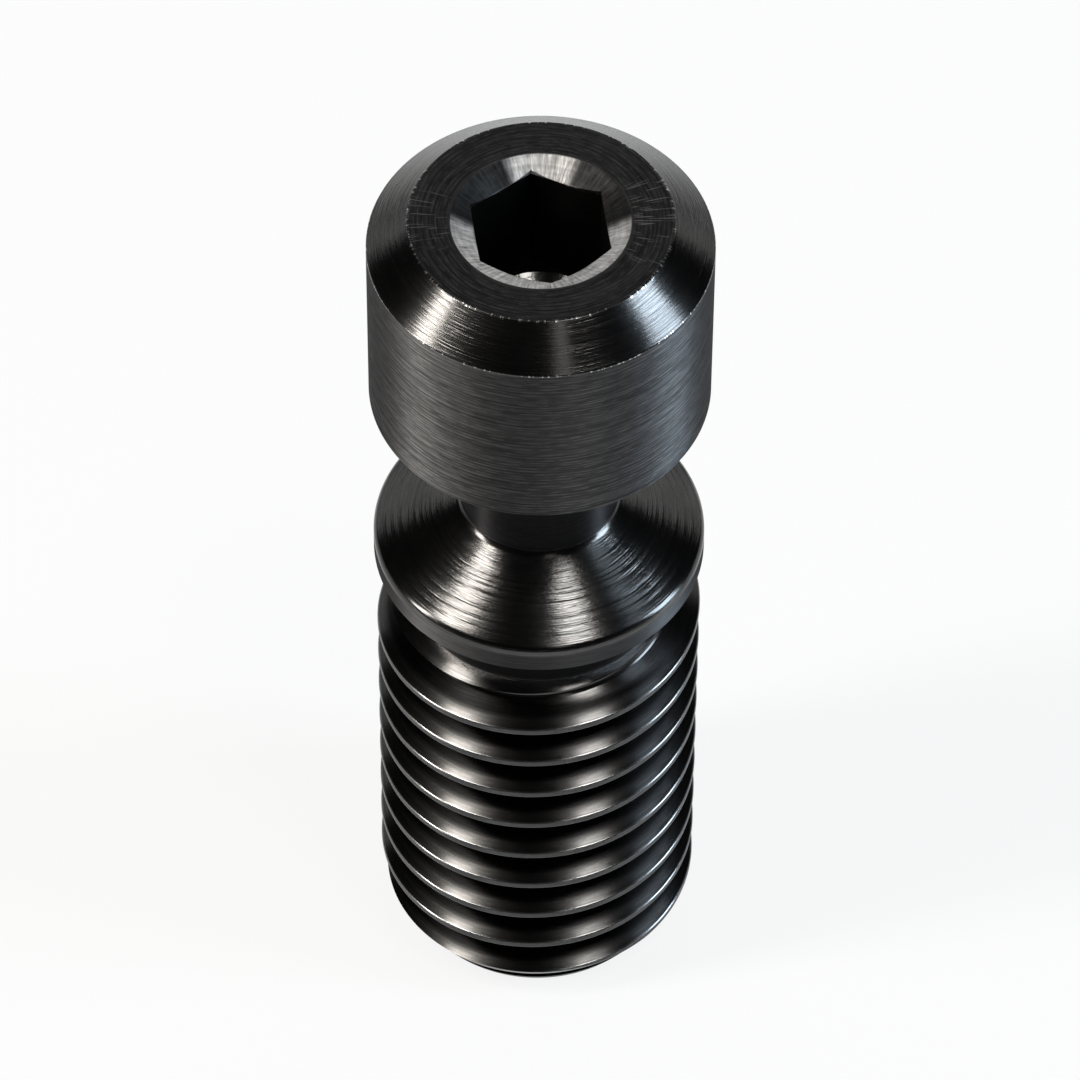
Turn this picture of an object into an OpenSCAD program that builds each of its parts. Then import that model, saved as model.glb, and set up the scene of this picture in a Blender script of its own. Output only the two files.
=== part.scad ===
// Lever-clamp screw turned from one bar of steel: a chamfered head with a hexagon
// socket, a slim neck that a clamping lever reaches into, a conical collar, a relief
// groove and a threaded shank. Sizes are in millimetres. The axis is Z, and the flat
// end of the thread, on which the screw stands, lies at Z = 0.

/* [Head] */
// Diameter of the head
head_d = 8.2; // [7.4:0.1:12]
// Height of the head, from its flat top to its underside
head_h = 5.9; // [5:0.1:12]
// Diameter of the flat ring on top, inside the chamfer
top_d = 6.25; // [5:0.05:7.8]
// Height of the chamfer round the top
top_chamfer_h = 0.83; // [0.2:0.01:3]
// Width of the broken edge round the underside
head_edge = 0.08; // [0.02:0.01:0.4]

/* [Socket] */
// Width across the flats of the hexagon key that fits
key_af = 3; // [2:0.1:3.4]
// Play of the key in the socket, across the flats
key_play = 0.1; // [0.02:0.02:0.2]
// Depth of the flat-sided part of the socket
socket_depth = 3.5; // [1.5:0.1:5]
// Diameter of the countersink at the flat top
countersink_d = 4.25; // [4.1:0.05:4.9]
// Full angle of the countersink
countersink_angle = 120; // [80:5:150]
// Full angle of the drill point below the hexagon
drill_angle = 118; // [90:1:150]
// Turn of the hexagon about the axis, in degrees
socket_turn = 38; // [0:1:59]

/* [Neck] */
// Diameter of the neck
neck_d = 3.8; // [3:0.1:5.6]
// Length of the neck, from the head's underside to the corner with the cone
neck_l = 3.9; // [2:0.1:8]
// Radius of the fillet under the head
head_fillet_r = 0.3; // [0.05:0.05:0.8]
// Radius of the fillet between the neck and the cone
cone_fillet_r = 0.35; // [0.05:0.05:0.8]

/* [Collar] */
// Diameter of the collar
collar_d = 8.1; // [7.4:0.1:12]
// Full angle of the cone on top of the collar
cone_angle = 120; // [70:1:150]
// Height of the collar's straight rim, up to its corner with the cone
rim_h = 0.76; // [0.5:0.02:4]
// Radius of the rounded corner between the cone and the rim
rim_round_r = 0.24; // [0.05:0.01:0.4]
// Width of the broken edge round the collar's underside
rim_edge = 0.06; // [0.02:0.01:0.2]

/* [Relief groove] */
// How far the groove lies below the thread's root
relief_depth = 0.08; // [0.02:0.02:0.6]
// Width of the groove, from the collar to the foot of the thread's upper chamfer
relief_w = 1.5; // [0.6:0.1:6]
// Radius of the fillet under the collar
relief_fillet_r = 0.35; // [0.05:0.05:0.5]

/* [Thread] */
// Outer diameter of the thread
thread_d = 8; // [7:0.1:8.8]
// Pitch of the thread
thread_pitch = 1.25; // [0.75:0.25:1.5]
// Length of the thread with both chamfers
thread_l = 12.1; // [6:0.1:24]
// Angle between the two flanks
flank_angle = 60; // [50:1:70]
// Height of the chamfer at the upper end of the thread
upper_chamfer_h = 0.5; // [0.4:0.1:2]
// Height of the chamfer at the lower end of the thread
lower_chamfer_h = 1.2; // [0.4:0.1:2]
// Diameter of the flat end face
end_d = 6.6; // [5:0.1:6.8]
// Turn of the thread about the axis, in degrees
thread_turn = 245; // [0:5:355]

/* [Hidden] */

$fn = 96;
steel_black = "#202124";

head_r = head_d / 2;
top_r = top_d / 2;
neck_r = neck_d / 2;
collar_r = collar_d / 2;
thread_r = thread_d / 2;

// Heights above the end face, from the bottom up
collar_z = thread_l + relief_w;
rim_z = collar_z + rim_h;
cone_h = (collar_r - neck_r) / tan(cone_angle / 2);
neck_z = rim_z + cone_h;
head_z = neck_z + neck_l;
top_z = head_z + head_h;

// Standard proportions of a metric thread: its depth as a share of the sharp triangle's
// height, and the width of its flat crest as a share of the pitch
depth_share = 17 / 24;
crest_share = 1 / 8;
sharp_h = thread_pitch / 2 / tan(flank_angle / 2);
thread_depth = depth_share * sharp_h;
root_r = thread_r - thread_depth;
crest_w = crest_share * thread_pitch;
flank_w = thread_depth * tan(flank_angle / 2);
root_w = thread_pitch - crest_w - 2 * flank_w;
relief_r = root_r - relief_depth;
end_r = end_d / 2;

// Corners of the thread's section over one pitch: height above its start, and radius
thread_section = [
    [0, thread_r],
    [crest_w, thread_r],
    [crest_w + flank_w, root_r],
    [crest_w + flank_w + root_w, root_r]
];
corners = len(thread_section);

// The helix starts and ends more than a turn outside the shank, and is then trimmed
steps = 48;
spare_turns = 1.25;
helix_z = -spare_turns * thread_pitch;
turns = ceil((thread_l - helix_z) / thread_pitch + spare_turns);
last_step = steps * turns;
trim_r = thread_r + thread_pitch;
trim_z = 3 * thread_pitch;

// How far pieces of the solid reach into each other where they are joined, and how
// far a cut runs past the surface that it opens
join = 0.4;
past = 0.1;

// Two-dimensional corner region between two straight edges that leave a point in the
// directions a and b: the kite up to the two points where a circle of radius r touches
module corner_kite(point, a, b, r) {
    half_angle = acos(a * b) / 2;
    touch = r / tan(half_angle);
    bisector = (a + b) / norm(a + b);
    difference() {
        polygon([point, point + touch * a, point + r / sin(half_angle) * bisector, point + touch * b]);
        translate(point + r / sin(half_angle) * bisector) circle(r);
    }
}

// Half section of everything above the thread, with sharp corners
module blank_outline() {
    polygon([
        [0, thread_l - join],
        [relief_r, thread_l - join],
        [relief_r, collar_z],
        [collar_r - rim_edge, collar_z],
        [collar_r, collar_z + rim_edge],
        [collar_r, rim_z],
        [neck_r, neck_z],
        [neck_r, head_z],
        [head_r - head_edge, head_z],
        [head_r, head_z + head_edge],
        [head_r, top_z - top_chamfer_h],
        [top_r, top_z],
        [0, top_z]
    ]);
}

// Everything above the thread, turned from the bar
module blank() {
    up = [0, 1];
    down = [0, -1];
    out = [1, 0];
    cone_up = [-sin(cone_angle / 2), cos(cone_angle / 2)];
    rotate_extrude() {
        difference() {
            blank_outline();
            corner_kite([collar_r, rim_z], cone_up, down, rim_round_r);
        }
        corner_kite([neck_r, neck_z], up, -cone_up, cone_fillet_r);
        corner_kite([neck_r, head_z], down, out, head_fillet_r);
        corner_kite([relief_r, collar_z], down, out, relief_fillet_r);
    }
}

// Hexagon socket with its countersink and the drill point at its foot
module socket() {
    flats = key_af + key_play;
    corner_r = flats / 2 / cos(30);
    sink_r = countersink_d / 2;
    sink_slope = tan(countersink_angle / 2);
    translate([0, 0, top_z - socket_depth]) rotate(socket_turn)
        cylinder(h = socket_depth + past, r = corner_r, $fn = 6);
    translate([0, 0, top_z - sink_r / sink_slope])
        cylinder(h = sink_r / sink_slope + past, r1 = 0, r2 = sink_r + past * sink_slope);
    drill_h = flats / 2 / tan(drill_angle / 2);
    translate([0, 0, top_z - socket_depth - drill_h]) cylinder(h = drill_h, r1 = 0, r2 = flats / 2);
}

// One corner of the thread's section, carried along the helix by a number of steps
function helix_point(step, corner) =
    let (
        angle = thread_turn + 360 * step / steps,
        r = thread_section[corner][1],
        z = helix_z + thread_pitch * step / steps + thread_section[corner][0]
    ) [r * cos(angle), r * sin(angle), z];

function index(step, corner) = step * corners + corner;

// The index of the next corner up the section, which after the last is the next turn's first
function index_above(step, corner) =
    corner + 1 < corners ? index(step, corner + 1) : index(step + steps, 0);

// Untrimmed right-hand thread with its core, as one solid closed by a fan at each end
module helix() {
    points = [
        for (step = [0:last_step], corner = [0:corners - 1]) helix_point(step, corner),
        [0, 0, helix_z],
        [0, 0, helix_z + turns * thread_pitch]
    ];
    low = len(points) - 2;
    high = len(points) - 1;
    side_faces = [
        for (step = [0:last_step - 1], corner = [0:corners - 1])
            if (corner + 1 < corners || step < last_step - steps)
                let (
                    a = index(step, corner),
                    b = index(step + 1, corner),
                    c = index_above(step + 1, corner),
                    d = index_above(step, corner)
                ) each [[a, d, c], [a, c, b]]
    ];
    low_faces = [
        for (step = [0:steps - 1]) [low, index(step, 0), index(step + 1, 0)],
        for (corner = [0:corners - 1]) [low, index_above(0, corner), index(0, corner)]
    ];
    high_faces = [
        for (step = [last_step - steps:last_step - 1])
            [high, index(step + 1, corners - 1), index(step, corners - 1)],
        for (corner = [0:corners - 2]) [high, index(last_step, corner), index(last_step, corner + 1)],
        [high, index(last_step - steps, corners - 1), index(last_step, 0)]
    ];
    polyhedron(points, concat(side_faces, low_faces, high_faces));
}

// Ring that trims the lower end of the thread to its chamfer and flat end
module lower_trim() {
    slope = lower_chamfer_h / (thread_r - end_r);
    rotate_extrude()
        polygon([
            [0, 0],
            [end_r, 0],
            [trim_r, slope * (trim_r - end_r)],
            [trim_r, -trim_z],
            [0, -trim_z]
        ]);
}

// Ring that trims the upper end of the thread to its chamfer; the chamfer runs on into
// the relief groove's core, so that the two are joined without a seam
module upper_trim() {
    slope = upper_chamfer_h / (thread_r - relief_r);
    rotate_extrude()
        polygon([
            [0, thread_l + slope * join],
            [relief_r - join, thread_l + slope * join],
            [trim_r, thread_l - slope * (trim_r - relief_r)],
            [trim_r, thread_l + trim_z],
            [0, thread_l + trim_z]
        ]);
}

// Threaded shank
module shank() {
    difference() {
        helix();
        lower_trim();
        upper_trim();
    }
}

// The whole screw
module screw() {
    color(steel_black) {
        difference() {
            blank();
            socket();
        }
        shank();
    }
}

screw();
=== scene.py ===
import math
import random

import bmesh
import bpy
from mathutils import Euler, Matrix, Quaternion, Vector


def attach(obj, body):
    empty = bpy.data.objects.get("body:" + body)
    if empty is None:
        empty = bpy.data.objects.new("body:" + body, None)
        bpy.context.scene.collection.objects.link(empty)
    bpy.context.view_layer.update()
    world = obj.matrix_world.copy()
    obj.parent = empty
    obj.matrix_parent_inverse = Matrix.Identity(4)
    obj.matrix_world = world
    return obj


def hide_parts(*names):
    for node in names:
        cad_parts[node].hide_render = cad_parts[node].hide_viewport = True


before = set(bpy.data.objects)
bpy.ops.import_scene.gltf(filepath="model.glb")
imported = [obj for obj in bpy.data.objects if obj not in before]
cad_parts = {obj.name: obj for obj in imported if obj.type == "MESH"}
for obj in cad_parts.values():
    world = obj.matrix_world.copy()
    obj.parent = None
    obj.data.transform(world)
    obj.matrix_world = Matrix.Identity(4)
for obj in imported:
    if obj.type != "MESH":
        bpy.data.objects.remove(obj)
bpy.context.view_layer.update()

scene = bpy.context.scene
scene.view_settings.view_transform = "Standard"

# The turned bar: head, neck, collar and relief groove of the screw, in free-cutting steel. A lathe
# turns the whole outline in one clamping. Its feed leaves shallow grooves on the two cones, and
# every corner is broken by a hair so that it doesn't cut the hand. Sizes are in millimetres.
mm = 0.001
facets = 240
head_r, top_r, neck_r, collar_r, relief_r = 4.1, 3.125, 1.9, 4.05, 3.1532
thread_l, relief_w, rim_h, neck_l, head_h, chamfer_h = 12.1, 1.5, 0.76, 3.9, 5.9, 0.83
cone_slope = 1 / math.tan(math.radians(120 / 2))
collar_z = thread_l + relief_w
rim_z = collar_z + rim_h
neck_z = rim_z + (collar_r - neck_r) * cone_slope
head_z = neck_z + neck_l
top_z = head_z + head_h
chamfer_z = top_z - chamfer_h
rim_edge, head_edge_w = 0.06, 0.08
relief_fillet, rim_round, cone_fillet, head_fillet = 0.35, 0.24, 0.35, 0.3
hair = 0.03
shank_overlap = 0.4
groove_w = 0.04
feed = random.Random(5)


def feed_grooves(start, end, spacing, depth):
    """Corners of the grooves that the tool's feed leaves along a straight run of a half section."""
    start, end = Vector(start), Vector(end)
    run = (end - start).normalized()
    inward = Vector((-run.y, run.x))
    corners = []
    at = spacing * 0.9
    while at < (end - start).length - spacing * 0.9:
        bottom = start + run * at + inward * depth * feed.uniform(0.5, 1.2)
        for point in (start + run * (at - groove_w / 2), bottom, start + run * (at + groove_w / 2)):
            corners.append((point.x, point.y, 0))
        at += spacing * feed.uniform(0.6, 1.4)
    return corners


def rounded_section(bm, section):
    """A flat half section as one face; each corner is its radius, its height and its rounding."""
    places = [Vector((r * mm, 0, z * mm)) for r, z, rounding in section]
    corners = [bm.verts.new(place) for place in places]
    bm.faces.new(corners)
    for k, (r, z, rounding) in enumerate(section):
        if rounding:
            following = places[(k + 1) % len(places)]
            angle = (places[k - 1] - places[k]).angle(following - places[k])
            degrees_each = 7 if rounding > 0.2 else 20
            segments = round((math.pi - angle) / math.radians(degrees_each))
            bmesh.ops.bevel(bm, geom=[corners[k]], offset=rounding * mm / math.tan(angle / 2),
                            offset_type="OFFSET", affect="VERTICES", segments=segments,
                            profile=0.5, material=-1)


def as_object(name, bm):
    """Closes a mesh's seams, turns its faces outwards and puts it into the scene."""
    bmesh.ops.remove_doubles(bm, verts=bm.verts[:], dist=2e-7)
    bmesh.ops.recalc_face_normals(bm, faces=bm.faces[:])
    mesh = bpy.data.meshes.new(name)
    bm.to_mesh(mesh)
    bm.free()
    piece = bpy.data.objects.new(name, mesh)
    scene.collection.objects.link(piece)
    return piece


def turned(name, section):
    """A closed round body, spun from a half section that starts and ends on the axis."""
    bm = bmesh.new()
    rounded_section(bm, section)
    bmesh.ops.delete(bm, geom=bm.faces[:], context="FACES_ONLY")
    on_axis = [e for e in bm.edges if max(v.co.x for v in e.verts) < 1e-9]
    bmesh.ops.delete(bm, geom=on_axis, context="EDGES")
    bmesh.ops.spin(bm, geom=bm.verts[:] + bm.edges[:], cent=(0, 0, 0), axis=(0, 0, 1), dvec=(0, 0, 0),
                   angle=math.tau, steps=facets, use_merge=True, use_duplicate=False)
    return as_object(name, bm)


cone_foot, cone_top = 0.18, 0.22
screw = turned("screw_body", [
    (0, thread_l - shank_overlap, 0),
    (relief_r, thread_l - shank_overlap, 0),
    (relief_r, collar_z, relief_fillet),
    (collar_r - rim_edge, collar_z, hair),
    (collar_r, collar_z + rim_edge, hair),
    (collar_r, rim_z, rim_round),
    *feed_grooves((collar_r - cone_foot, rim_z + cone_foot * cone_slope),
                  (neck_r + cone_top, neck_z - cone_top * cone_slope), spacing=0.17, depth=0.002),
    (neck_r, neck_z, cone_fillet),
    (neck_r, head_z, head_fillet),
    (head_r - head_edge_w, head_z, hair),
    (head_r, head_z + head_edge_w, hair),
    (head_r, chamfer_z, 0.04),
    *feed_grooves((head_r, chamfer_z), (top_r, top_z), spacing=0.13, depth=0.0013),
    (top_r, top_z, hair),
    (0, top_z, 0),
])

# The thread: an M8 x 1.25 right-hand helix, cut by a single-point tool on the lathe. Its root is
# rounded by the tool's nose and its crests keep a flat with worn edges, and a chamfer leads it in
# at both ends.
thread_r, pitch, thread_turn = 4.0, 1.25, 245
half_flank_angle = math.radians(60 / 2)
thread_depth = 17 / 24 * pitch / 2 / math.tan(half_flank_angle)
root_r = thread_r - thread_depth
crest_w = pitch / 8
flank_w = thread_depth * math.tan(half_flank_angle)
root_round, crest_round = 0.15, 0.06
turns = 13
helix_z = -1.25 * pitch
low_z = helix_z - pitch / 2 + crest_w / 2
core_r = root_r - 0.5


def work(body, tool, operation):
    """Joins a body with another, cuts it by it or trims it to it, and puts the other away."""
    step = body.modifiers.new("work", "BOOLEAN")
    step.operation, step.object, step.solver = operation, tool, "EXACT"
    made = bpy.data.meshes.new_from_object(body.evaluated_get(bpy.context.evaluated_depsgraph_get()))
    body.modifiers.clear()
    body.data = made
    bpy.data.objects.remove(tool)


def about_axis(degrees):
    """A turn about the screw's axis."""
    return Quaternion((0, 0, 1), math.radians(degrees)).to_matrix()


bm = bmesh.new()
rounded_section(bm, [
    (core_r, low_z, 0),
    (root_r, low_z, 0),
    (root_r, helix_z - flank_w, root_round),
    (thread_r, helix_z, crest_round),
    (thread_r, helix_z + crest_w, crest_round),
    (root_r, helix_z + crest_w + flank_w, root_round),
    (root_r, low_z + pitch, 0),
    (core_r, low_z + pitch, 0),
])
inner = [v for v in bm.verts if v.co.x < (core_r + 0.01) * mm]
bmesh.ops.delete(bm, geom=inner, context="VERTS")
bmesh.ops.delete(bm, geom=bm.faces[:], context="FACES_ONLY")
bmesh.ops.rotate(bm, verts=bm.verts[:], cent=(0, 0, 0), matrix=about_axis(thread_turn))
bmesh.ops.spin(bm, geom=bm.verts[:] + bm.edges[:], cent=(0, 0, 0), axis=(0, 0, 1),
               dvec=(0, 0, pitch * mm / facets), angle=math.tau, steps=facets,
               use_merge=False, use_duplicate=False)
one_turn = bm.verts[:] + bm.edges[:] + bm.faces[:]
for turn in range(1, turns):
    copy = bmesh.ops.duplicate(bm, geom=one_turn)["geom"]
    copied = [v for v in copy if isinstance(v, bmesh.types.BMVert)]
    bmesh.ops.translate(bm, verts=copied, vec=(0, 0, turn * pitch * mm))
bmesh.ops.remove_doubles(bm, verts=bm.verts[:], dist=1e-6)
for cut_z, up in ((-0.2, -1), (thread_l + 0.7, 1)):
    cut = bmesh.ops.bisect_plane(bm, geom=bm.verts[:] + bm.edges[:] + bm.faces[:],
                                 plane_co=(0, 0, cut_z * mm), plane_no=(0, 0, up), clear_outer=True)
    rim_edges = [e for e in cut["geom_cut"] if isinstance(e, bmesh.types.BMEdge)]
    bmesh.ops.edgeloop_fill(bm, edges=rim_edges)
shank = as_object("threaded_shank", bm)

end_r, lower_chamfer_h, upper_chamfer_h = 3.3, 1.2, 0.5
clear = 0.3
lead_r = thread_r + clear
lower_slope = lower_chamfer_h / (thread_r - end_r)
upper_slope = upper_chamfer_h / (thread_r - relief_r)
work(shank, turned("lead_in", [
    (0, 0, 0),
    (end_r, 0, hair),
    (lead_r, lower_slope * (lead_r - end_r), 0),
    (lead_r, thread_l - upper_slope * (lead_r - relief_r), 0),
    (relief_r - clear, thread_l + upper_slope * clear, 0),
    (0, thread_l + upper_slope * clear, 0),
]), "INTERSECT")
work(screw, shank, "UNION")

# The socket for a 3 mm hexagon key: drilled, countersunk and then broached into the head, so its
# flats are plain and its foot keeps the drill's point.
flats, socket_depth, socket_turn = 3.1, 3.5, 38
corner_r = flats / 2 / math.cos(math.pi / 6)
socket_z = top_z - socket_depth
past = 0.1
bm = bmesh.new()
bmesh.ops.create_cone(bm, cap_ends=True, segments=6, radius1=corner_r * mm, radius2=corner_r * mm,
                      depth=(socket_depth + 2 * past) * mm)
bmesh.ops.rotate(bm, verts=bm.verts[:], cent=(0, 0, 0), matrix=about_axis(socket_turn - 30))
bmesh.ops.translate(bm, verts=bm.verts[:], vec=(0, 0, (socket_z + socket_depth / 2 + past) * mm))
work(screw, as_object("broach", bm), "DIFFERENCE")

sink_r = 4.25 / 2
sink_slope = 1 / math.tan(math.radians(120 / 2))
work(screw, turned("countersink", [
    (0, top_z - sink_r * sink_slope, 0),
    (sink_r + past, top_z + past * sink_slope, 0),
    (0, top_z + past * sink_slope, 0),
]), "DIFFERENCE")

drill_r = flats / 2 - 0.03
drill_slope = 1 / math.tan(math.radians(118 / 2))
work(screw, turned("drill", [
    (0, socket_z - drill_r * drill_slope, 0),
    (drill_r, socket_z, 0),
    (drill_r, socket_z + 2 * past, 0),
    (0, socket_z + 2 * past, 0),
]), "DIFFERENCE")

bm = bmesh.new()
bm.from_mesh(screw.data)
bmesh.ops.remove_doubles(bm, verts=bm.verts[:], dist=2e-7)
bmesh.ops.dissolve_degenerate(bm, edges=bm.edges[:], dist=1e-7)
bm.to_mesh(screw.data)
bm.free()
screw.data.polygons.foreach_set("use_smooth", [True] * len(screw.data.polygons))
screw.data.set_sharp_from_angle(angle=math.radians(9))

# The finish all over: steel blackened in a hot bath and oiled, so that it is near black and glossy.
# The turning lines show through it as fine rings, the straight sides gleam across them as brushed metal does,
# and it is worn on the crests' edges, the head's corners and in the countersink. Painted shade darkens the
# thread's roots, the neck under the head, the relief groove, the socket's bore and two sectors of the
# countersink.


class Value:
    """A socket of a shader node. Python's operators on it add Math nodes to its tree."""

    def __init__(self, tree, socket=None):
        self.tree, self.socket = tree, socket

    def node(self, kind, settings={}, sockets={}, out=0):
        """Adds a node: its settings first, then the values or links of its sockets."""
        made = self.tree.nodes.new(kind)
        for name, value in settings.items():
            setattr(made, name, value)
        for name, value in sockets.items():
            if isinstance(value, Value):
                self.tree.links.new(value.socket, made.inputs[name])
            else:
                made.inputs[name].default_value = value
        if isinstance(out, tuple):
            return [Value(self.tree, made.outputs[k]) for k in out]
        return Value(self.tree, made.outputs[out])

    def math(self, operation, *values):
        return self.node("ShaderNodeMath", {"operation": operation}, dict(enumerate(values)))

    def __add__(self, other):
        return self.math("ADD", self, other)

    def __sub__(self, other):
        return self.math("SUBTRACT", self, other)

    def __rsub__(self, other):
        return self.math("SUBTRACT", other, self)

    def __mul__(self, other):
        return self.math("MULTIPLY", self, other)

    def __truediv__(self, other):
        return self.math("DIVIDE", self, other)

    def __pow__(self, other):
        return self.math("POWER", self, other)

    __radd__, __rmul__ = __add__, __mul__

    def step(self, low, high):
        """0 below low and 1 above high, with a smooth rise between them."""
        return self.node("ShaderNodeMapRange", {"interpolation_type": "SMOOTHSTEP"},
                         {"Value": self, "From Min": low, "From Max": high})

    def fall(self, low, high):
        """1 below low and 0 above high."""
        return 1 - self.step(low, high)


steel = bpy.data.materials.new("black_steel")
steel.use_nodes = True
steel.node_tree.nodes.remove(steel.node_tree.nodes["Principled BSDF"])
place = Value(steel.node_tree).node("ShaderNodeTexCoord", out="Object")
x, y, z = [metres * 1000 for metres in place.node("ShaderNodeSeparateXYZ", {}, {"Vector": place}, (0, 1, 2))]
r = (x * x + y * y) ** 0.5
round_x, round_y = x / (r + 0.001), y / (r + 0.001)
above = z.step(thread_l - 0.1, thread_l + 0.1)
threaded = 1 - above
along = r - z * above


def rings(fineness, reach, detail):
    """Noise drawn out round the axis: fineness in rings to the millimetre, reach in changes to the turn."""
    vector = place.node("ShaderNodeCombineXYZ", {},
                        {"X": round_x * reach, "Y": round_y * reach, "Z": along * fineness})
    return place.node("ShaderNodeTexNoise", {},
                      {"Vector": vector, "Scale": 1, "Detail": detail, "Roughness": 0.6})


# What the tool and handling leave: feed lines, finer lines, clouding, chatter in the countersink and burrs on
# the head's corners. Radial streaks are also coloured lighter on the left and right of the flat top.
feed_phase = along * 60 + rings(2, 1.5, 2) * 16
feed_marks = (feed_phase.math("SINE", feed_phase) * 0.5 + 0.5) * rings(9, 9, 2).step(0.4, 0.6)
lines = rings(24, 1, 1).step(0.36, 0.64) * 0.45 + feed_marks * 0.55
fine = rings(45, 10, 1)
blotch = rings(0.6, 2, 2)
burr = rings(3, 45, 2).step(0.55, 0.68)
chatter = rings(5, 30, 2)

# Where each surface of the screw lies, by its radius and height
outside = r.step(thread_r - 0.03, thread_r - 0.01)
head_side = outside * z.step(head_z - 0.1, head_z) * z.fall(chamfer_z - 0.07, chamfer_z - 0.01)
crests = outside * z.fall(thread_l + 0.3, thread_l + 0.4)
crest_edges = (r.step(thread_r - 0.045, thread_r - 0.032) * r.fall(thread_r - 0.006, thread_r - 0.002)
               * z.fall(thread_l + 0.3, thread_l + 0.4))
root = z.fall(thread_l - 0.6, thread_l - 0.45) * r.fall(thread_r - 0.36, thread_r - 0.08)
relief = (r.fall(relief_r + 0.05, relief_r + 0.3) * z.step(thread_l, thread_l + 0.1)
          * z.fall(collar_z, collar_z + 0.05))
rim = outside * z.step(collar_z - 0.1, collar_z) * z.fall(rim_z - 0.26, rim_z - 0.11)
neck = r.fall(neck_r + 0.04, neck_r + 0.06) * z.fall(head_z + 0.5, head_z + 0.6)
flat_top = z.step(top_z - 0.016, top_z - 0.006) * r.step(sink_r + 0.025, sink_r + 0.075)
sunk = r.fall(sink_r - 0.025, sink_r + 0.015) * z.step(top_z - 0.35, top_z - 0.3)
bore = (r.fall(corner_r + 0.03, corner_r + 0.07) * z.step(socket_z + 0.05, socket_z + 0.15)
        * z.fall(top_z - 0.4, top_z - 0.34))
top_edge = z.step(top_z - 0.04, top_z - 0.02) * r.step(top_r - 0.04, top_r - 0.025)
head_edge = r.step(head_r - 0.025, head_r - 0.015) * z.step(chamfer_z - 0.04, chamfer_z - 0.02)
# Lighter radial streaks on the left and right of the flat top.
streaked_sides = round_x.step(0.8, 0.96) + (0 - round_x).step(0.88, 1) * 0.6
radial_streaks = rings(1.2, 70, 1).step(0.62, 0.68) * flat_top * streaked_sides

height = (lines * 0.6 + fine * 0.3) * (1 - threaded * 0.85 + head_side * 2) + chatter * sunk * 4
bump = place.node("ShaderNodeBump", {}, {"Height": height, "Strength": 1, "Distance": 0.003 * mm})
roughness = (0.12 + fine * 0.06 + blotch * 0.05 + crests * 0.1 + root * 0.1 + bore * 0.3
             + sunk * 0.34 + flat_top * 0.1)
brushed_roughness = 0.57 + fine * 0.12 - neck * 0.15


def blend(factor, low, high):
    """One colour where the factor is 0 and the other where it is 1."""
    return place.node("ShaderNodeMix", {"data_type": "RGBA"}, {0: factor, 6: low, 7: high}, 2)


turned_black = blend(blotch.step(0.35, 0.7), (0.078, 0.077, 0.076, 1), (0.094, 0.093, 0.091, 1))
flank_black = blend(threaded, turned_black, (0.07, 0.069, 0.068, 1))
# Painted shade: the thread's roots, deep between the flanks, are coloured nearly black.
root_painted_shade = blend(root, flank_black, (0.006, 0.006, 0.006, 1))
crest_black = blend(crests, root_painted_shade, (0.065, 0.065, 0.066, 1))
worn_crest = blend(crest_edges, crest_black, (0.25, 0.25, 0.25, 1))
rim_black = blend(rim, worn_crest, (0.085, 0.085, 0.087, 1))
side_black = blend(head_side, rim_black, (0.1, 0.1, 0.101, 1))
# Painted shade: the neck under the head and the relief groove under the collar are coloured darker than the
# rest of the steel.
neck_relief_painted_shade = blend(neck + relief, side_black, (0.024, 0.024, 0.025, 1))
# Painted shade: the socket's bore is coloured nearly black.
bore_painted_shade = blend(bore, neck_relief_painted_shade, (0.012, 0.012, 0.012, 1))
top_black = blend(flat_top, bore_painted_shade, (0.062, 0.062, 0.062, 1))
# The countersink is bright bare metal. Painted shade colours two sectors of it black, on the left and right
# towards the back.
sink_painted_shade_sectors = (round_y * 0.57 + round_x.math("ABSOLUTE", round_x) * 0.82).step(0.79, 0.89)
bare_sink_with_painted_shade = blend(sink_painted_shade_sectors, (0.65, 0.645, 0.637, 1), (0.03, 0.03, 0.03, 1))
sink_bare_and_shaded = blend(sunk, top_black, bare_sink_with_painted_shade)
contrast = 0.4 + flat_top * 0.7 + head_side * 0.6
scored = place.node("ShaderNodeMix", {"data_type": "RGBA", "blend_type": "MULTIPLY"},
                    {0: 1, 6: sink_bare_and_shaded, 7: 1 + (lines - 0.5) * contrast + (chatter - 0.5) * sunk * 2}, 2)
streaked = blend(radial_streaks, scored, (0.3, 0.3, 0.3, 1))
colour = blend(burr * (top_edge + head_edge), streaked, (0.6, 0.6, 0.59, 1))


def metal(rough, anisotropy):
    """Blackened metal whose gleam is drawn out across the turning lines."""
    return place.node("ShaderNodeBsdfPrincipled", {},
                      {"Base Color": colour, "Roughness": rough, "Normal": bump, "Metallic": 1,
                       "Anisotropic": anisotropy, "Anisotropic Rotation": 0.25})


straight_sides = head_side + rim + neck + relief
finish = place.node("ShaderNodeMixShader", {},
                    {0: straight_sides, 1: metal(roughness, 0.4), 2: metal(brushed_roughness, 0.95)})
steel.node_tree.links.new(finish.socket, steel.node_tree.nodes["Material Output"].inputs["Surface"])

screw.data.materials.clear()
screw.data.materials.append(steel)
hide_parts("screw")
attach(screw, "root")

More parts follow.
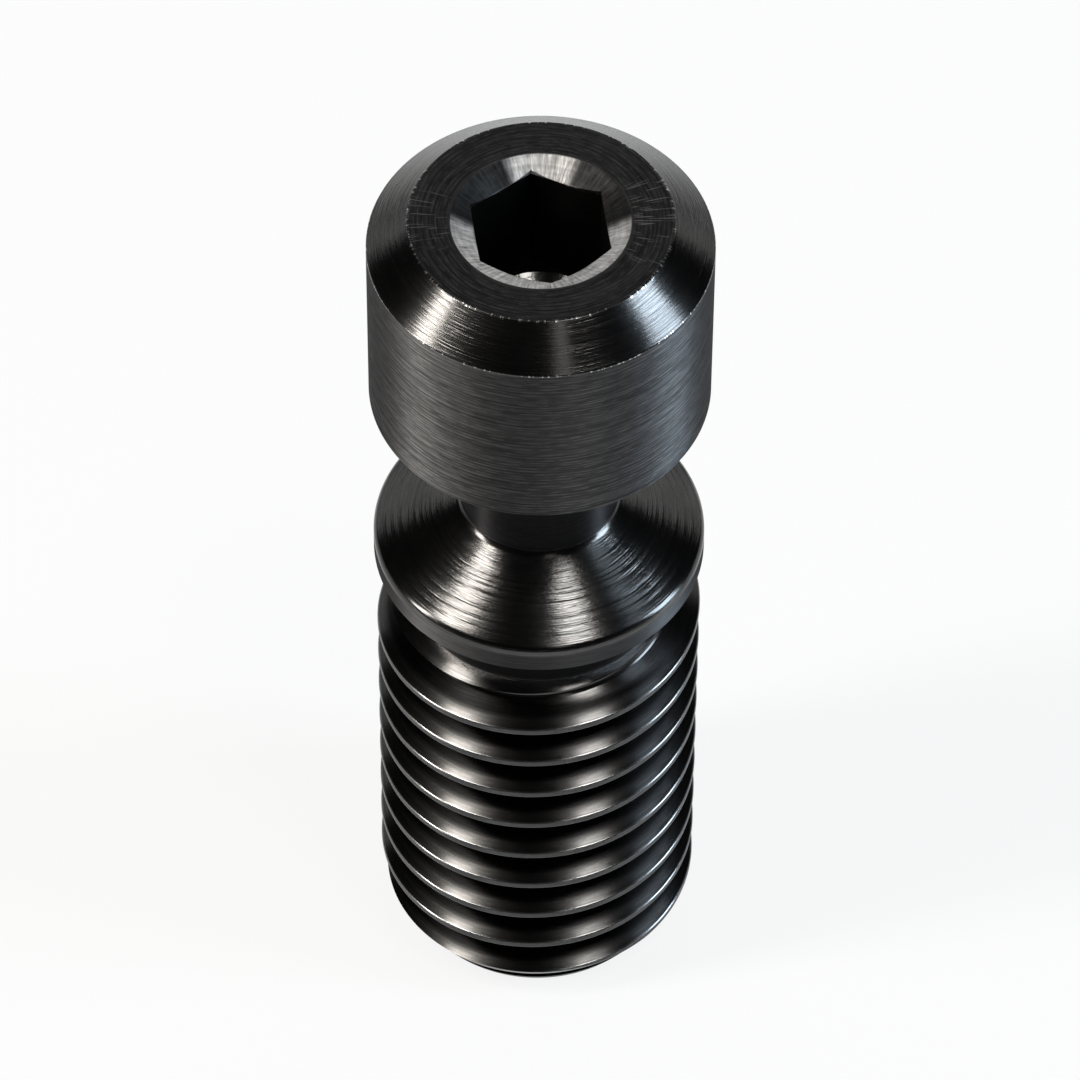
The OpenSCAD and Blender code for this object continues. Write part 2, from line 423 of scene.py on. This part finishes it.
# The floor: a sheet of smooth white board that the screw stands on. It shows white to the camera
# and in the steel's reflections, and keeps the screw's soft shadow.
bm = bmesh.new()
bmesh.ops.create_grid(bm, x_segments=1, y_segments=1, size=3)
floor = as_object("floor", bm)
board = bpy.data.materials.new("white_board")
board.use_nodes = True
board_nodes = board.node_tree.nodes
board_nodes["Principled BSDF"].inputs["Base Color"].default_value = (0.9, 0.9, 0.9, 1)
board_nodes["Principled BSDF"].inputs["Roughness"].default_value = 0.12
is_camera, is_glossy, is_through = Value(board.node_tree).node(
    "ShaderNodeLightPath", out=("Is Camera Ray", "Is Glossy Ray", "Is Transmission Ray"))
seen = is_camera.math("MAXIMUM", is_camera, is_camera.math("MAXIMUM", is_glossy, is_through) * 0.5)
white = seen.node("ShaderNodeEmission", {}, {"Color": (1, 1, 1, 1), "Strength": 1})
lit = Value(board.node_tree, board_nodes["Principled BSDF"].outputs["BSDF"])
sheet = seen.node("ShaderNodeMixShader", {}, {0: seen * 0.85, 1: lit, 2: white})
board.node_tree.links.new(sheet.socket, board_nodes["Material Output"].inputs["Surface"])
floor.data.materials.append(board)

# The light: soft boxes round the table. Two warm ones stand to the left, a cool one with a weak
# fill to the right, a small one hangs overhead with a weak strip before it, and a pale wall with a
# lit ceiling above it lies behind.
aim = Vector((0, 0, 13.692)) * mm
warm, cool, soft, plain = (1.0, 0.95, 0.89), (0.72, 0.86, 1.0), (1.0, 0.98, 0.95), (1.0, 1.0, 1.0)
lamp_distance = 0.3


def soft_box(name, azimuth, elevation, width, height, radiance, colour):
    """An upright lamp that faces the screw; azimuth is in degrees from the front to the right."""
    lamp = bpy.data.lights.new(name, "AREA")
    lamp.shape, lamp.size, lamp.size_y = "RECTANGLE", width, height
    lamp.energy = radiance * math.pi * width * height
    lamp.color = colour
    holder = bpy.data.objects.new(name, lamp)
    turn = Euler((math.radians(90 - elevation), 0, math.radians(azimuth))).to_matrix().to_4x4()
    holder.matrix_world = Matrix.Translation(aim) @ turn @ Matrix.Translation((0, 0, lamp_distance))
    scene.collection.objects.link(holder)


soft_box("left_low_box", -75.5, 26, 0.047, 0.16, 20, warm)
soft_box("left_high_box", -74, 58, 0.05, 0.1, 19, warm)
soft_box("right_box", 82.5, 22, 0.085, 0.19, 13.5, cool)
soft_box("right_fill", 80, 50, 0.05, 0.09, 1.5, cool)
soft_box("front_box", 39, 68, 0.057, 0.058, 15.5, soft)
soft_box("front_fill", 16, 49, 0.03, 0.1, 1.2, soft)
soft_box("back_box", 180, 50.3, 0.25, 0.2, 0.25, plain)
soft_box("back_wall", 180, 21.2, 0.8, 0.16, 0.7, plain)

world = bpy.data.worlds.new("studio")
world.use_nodes = True
scene.world = world
world.node_tree.nodes["Background"].inputs["Color"].default_value = (1, 1, 1, 1)
world.node_tree.nodes["Background"].inputs["Strength"].default_value = 0.02

# The camera: a long lens that looks down at the head from the front, a hair to the right of the
# axis and rolled by less than half a degree, as the photograph was taken.
elevation, roll = math.radians(50.5), math.radians(0.38)
distance, sideways = 180, 0.0277
frame_pixels, focal_pixels = 1080, 7332
camera = bpy.data.objects.new("camera", bpy.data.cameras.new("camera"))
camera.data.sensor_width = 36
camera.data.lens = focal_pixels / frame_pixels * camera.data.sensor_width
camera.data.clip_start, camera.data.clip_end = 0.01, 10
camera.location = aim + Vector((sideways, -distance * math.cos(elevation), distance * math.sin(elevation))) * mm
camera.rotation_mode = "QUATERNION"
camera.rotation_quaternion = (Euler((math.pi / 2 - elevation, 0, 0)).to_quaternion()
                              @ Quaternion((0, 0, 1), roll))
scene.collection.objects.link(camera)
scene.camera = camera
